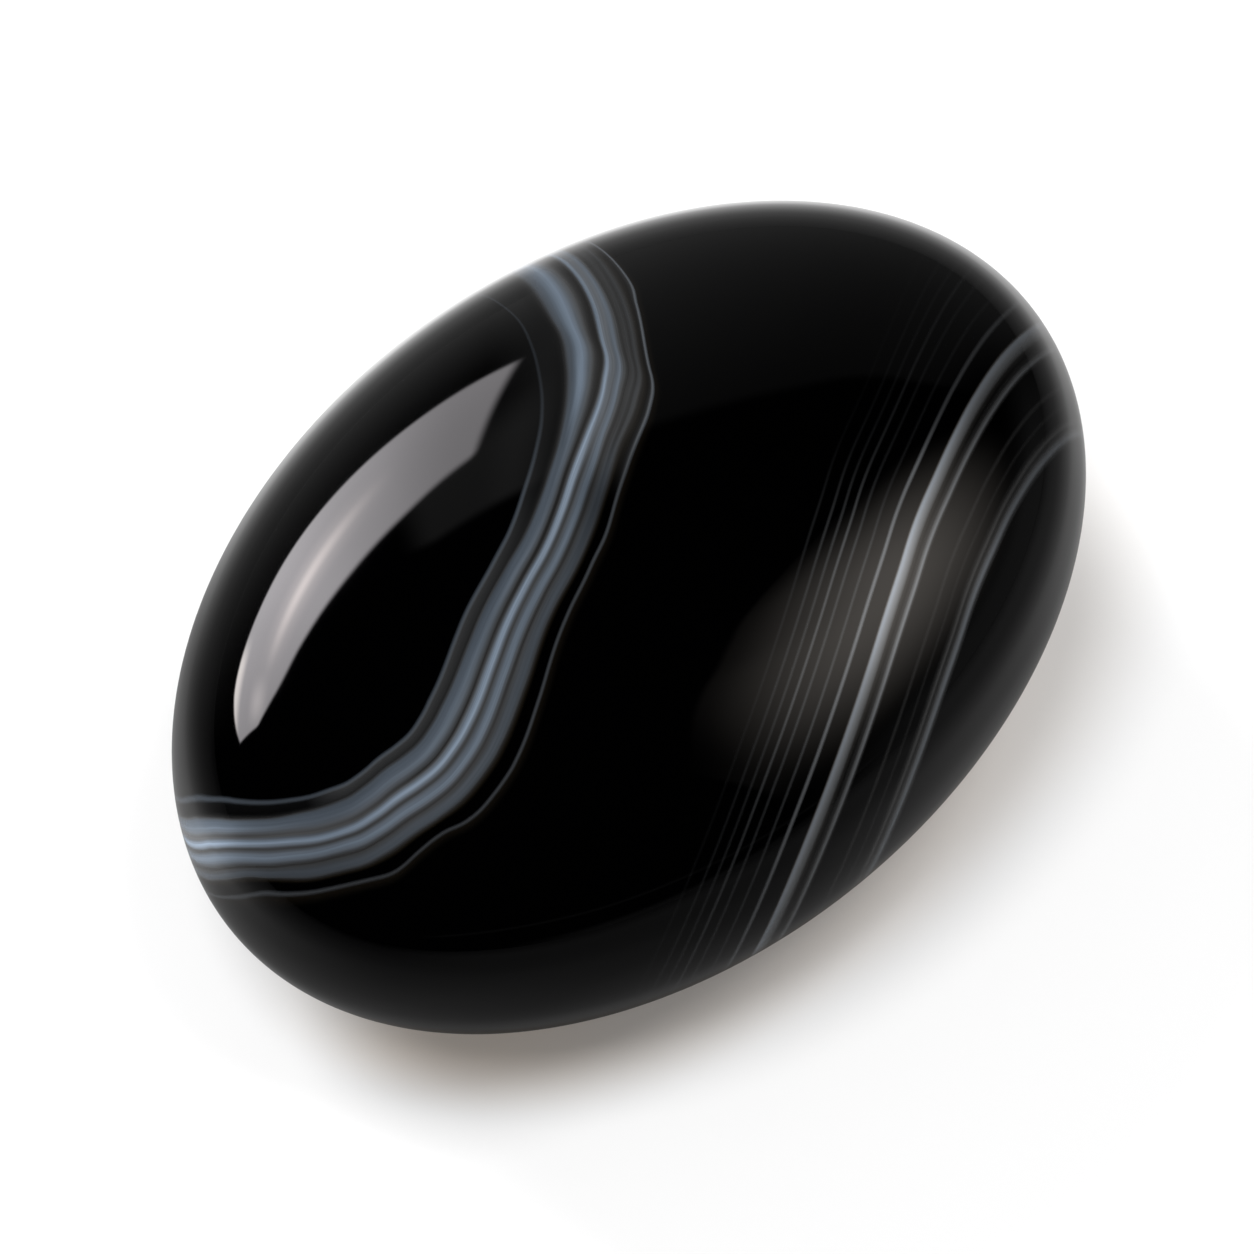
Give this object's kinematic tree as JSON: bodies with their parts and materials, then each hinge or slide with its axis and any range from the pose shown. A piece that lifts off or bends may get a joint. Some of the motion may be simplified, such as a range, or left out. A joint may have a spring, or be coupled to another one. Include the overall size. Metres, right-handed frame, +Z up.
{
  "type": "polished onyx stone",
  "caption": "Polished oval pebble of black onyx with two groups of fine blue-grey bands, lying on its flat underside.",
  "frame": {"origin": "middle of the pebble's plan, on the plane of its flat underside", "axes": "+X along the pebble's length towards its thinner end, +Y across its width, +Z up"},
  "size_m": [0.05, 0.0342, 0.0193],
  "materials": {
    "onyx": "mirror polish, black with fine blue-grey bands"
  },
  "bodies": {
    "root": {"onyx_stone": "onyx"}
  },
  "joints": []
}
